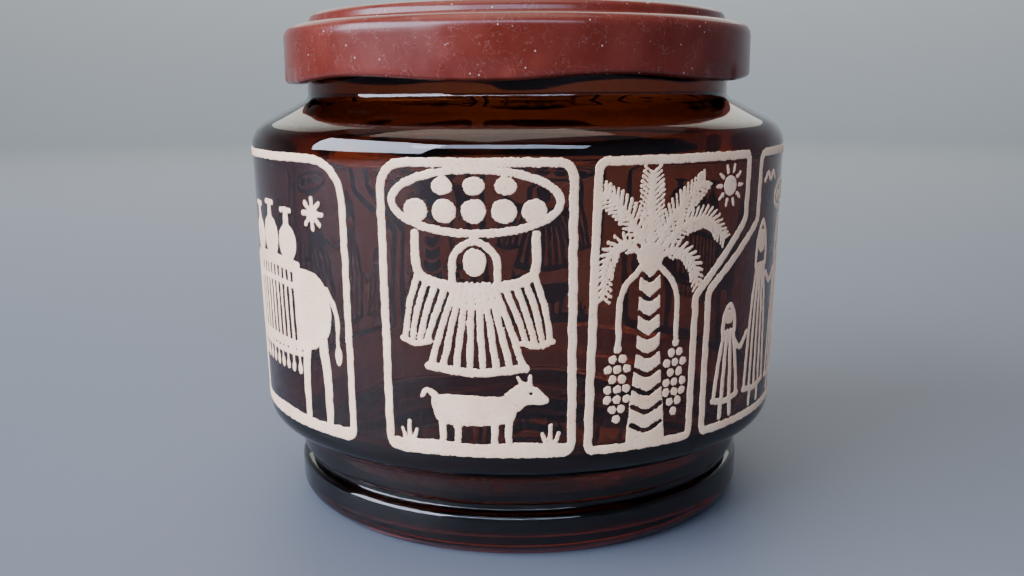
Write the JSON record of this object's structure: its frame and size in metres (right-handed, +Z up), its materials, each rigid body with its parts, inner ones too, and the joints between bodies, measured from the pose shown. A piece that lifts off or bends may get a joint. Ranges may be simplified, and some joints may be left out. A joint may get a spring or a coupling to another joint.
{
  "type": "storage jar",
  "caption": "Wide-mouth amber glass storage jar with printed enamel panels, a waisted foot ring and a twist-off painted tinplate lid.",
  "frame": {"origin": "centre of the foot ring, on the surface the jar stands on", "axes": "+Z up along the jar's axis, -Y towards the front, where the middle printed panel is"},
  "size_m": [0.0986, 0.0986, 0.0882],
  "materials": {
    "amber_glass": "pressed soda glass, dark amber, fire-polished",
    "sealing_compound": "soft plastisol, satin",
    "painted_tinplate": "stoved red-brown enamel paint, glossy and slightly worn"
  },
  "bodies": {
    "jar": {"jar_body": "amber_glass"},
    "seal": {"lid_gasket": "sealing_compound"},
    "lid": {"lid_shell": "painted_tinplate"}
  },
  "joints": [
    {"name": "lid_lift", "type": "slide", "parent": "jar", "child": "seal", "axis": [0, 0, 1], "range_m": [0, 0.04]},
    {"name": "lid_twist", "type": "hinge", "parent": "seal", "child": "lid", "pos_m": [0, 0, 0.08539], "axis": [0, 0, 1], "range_deg": [-40, 0]}
  ]
}
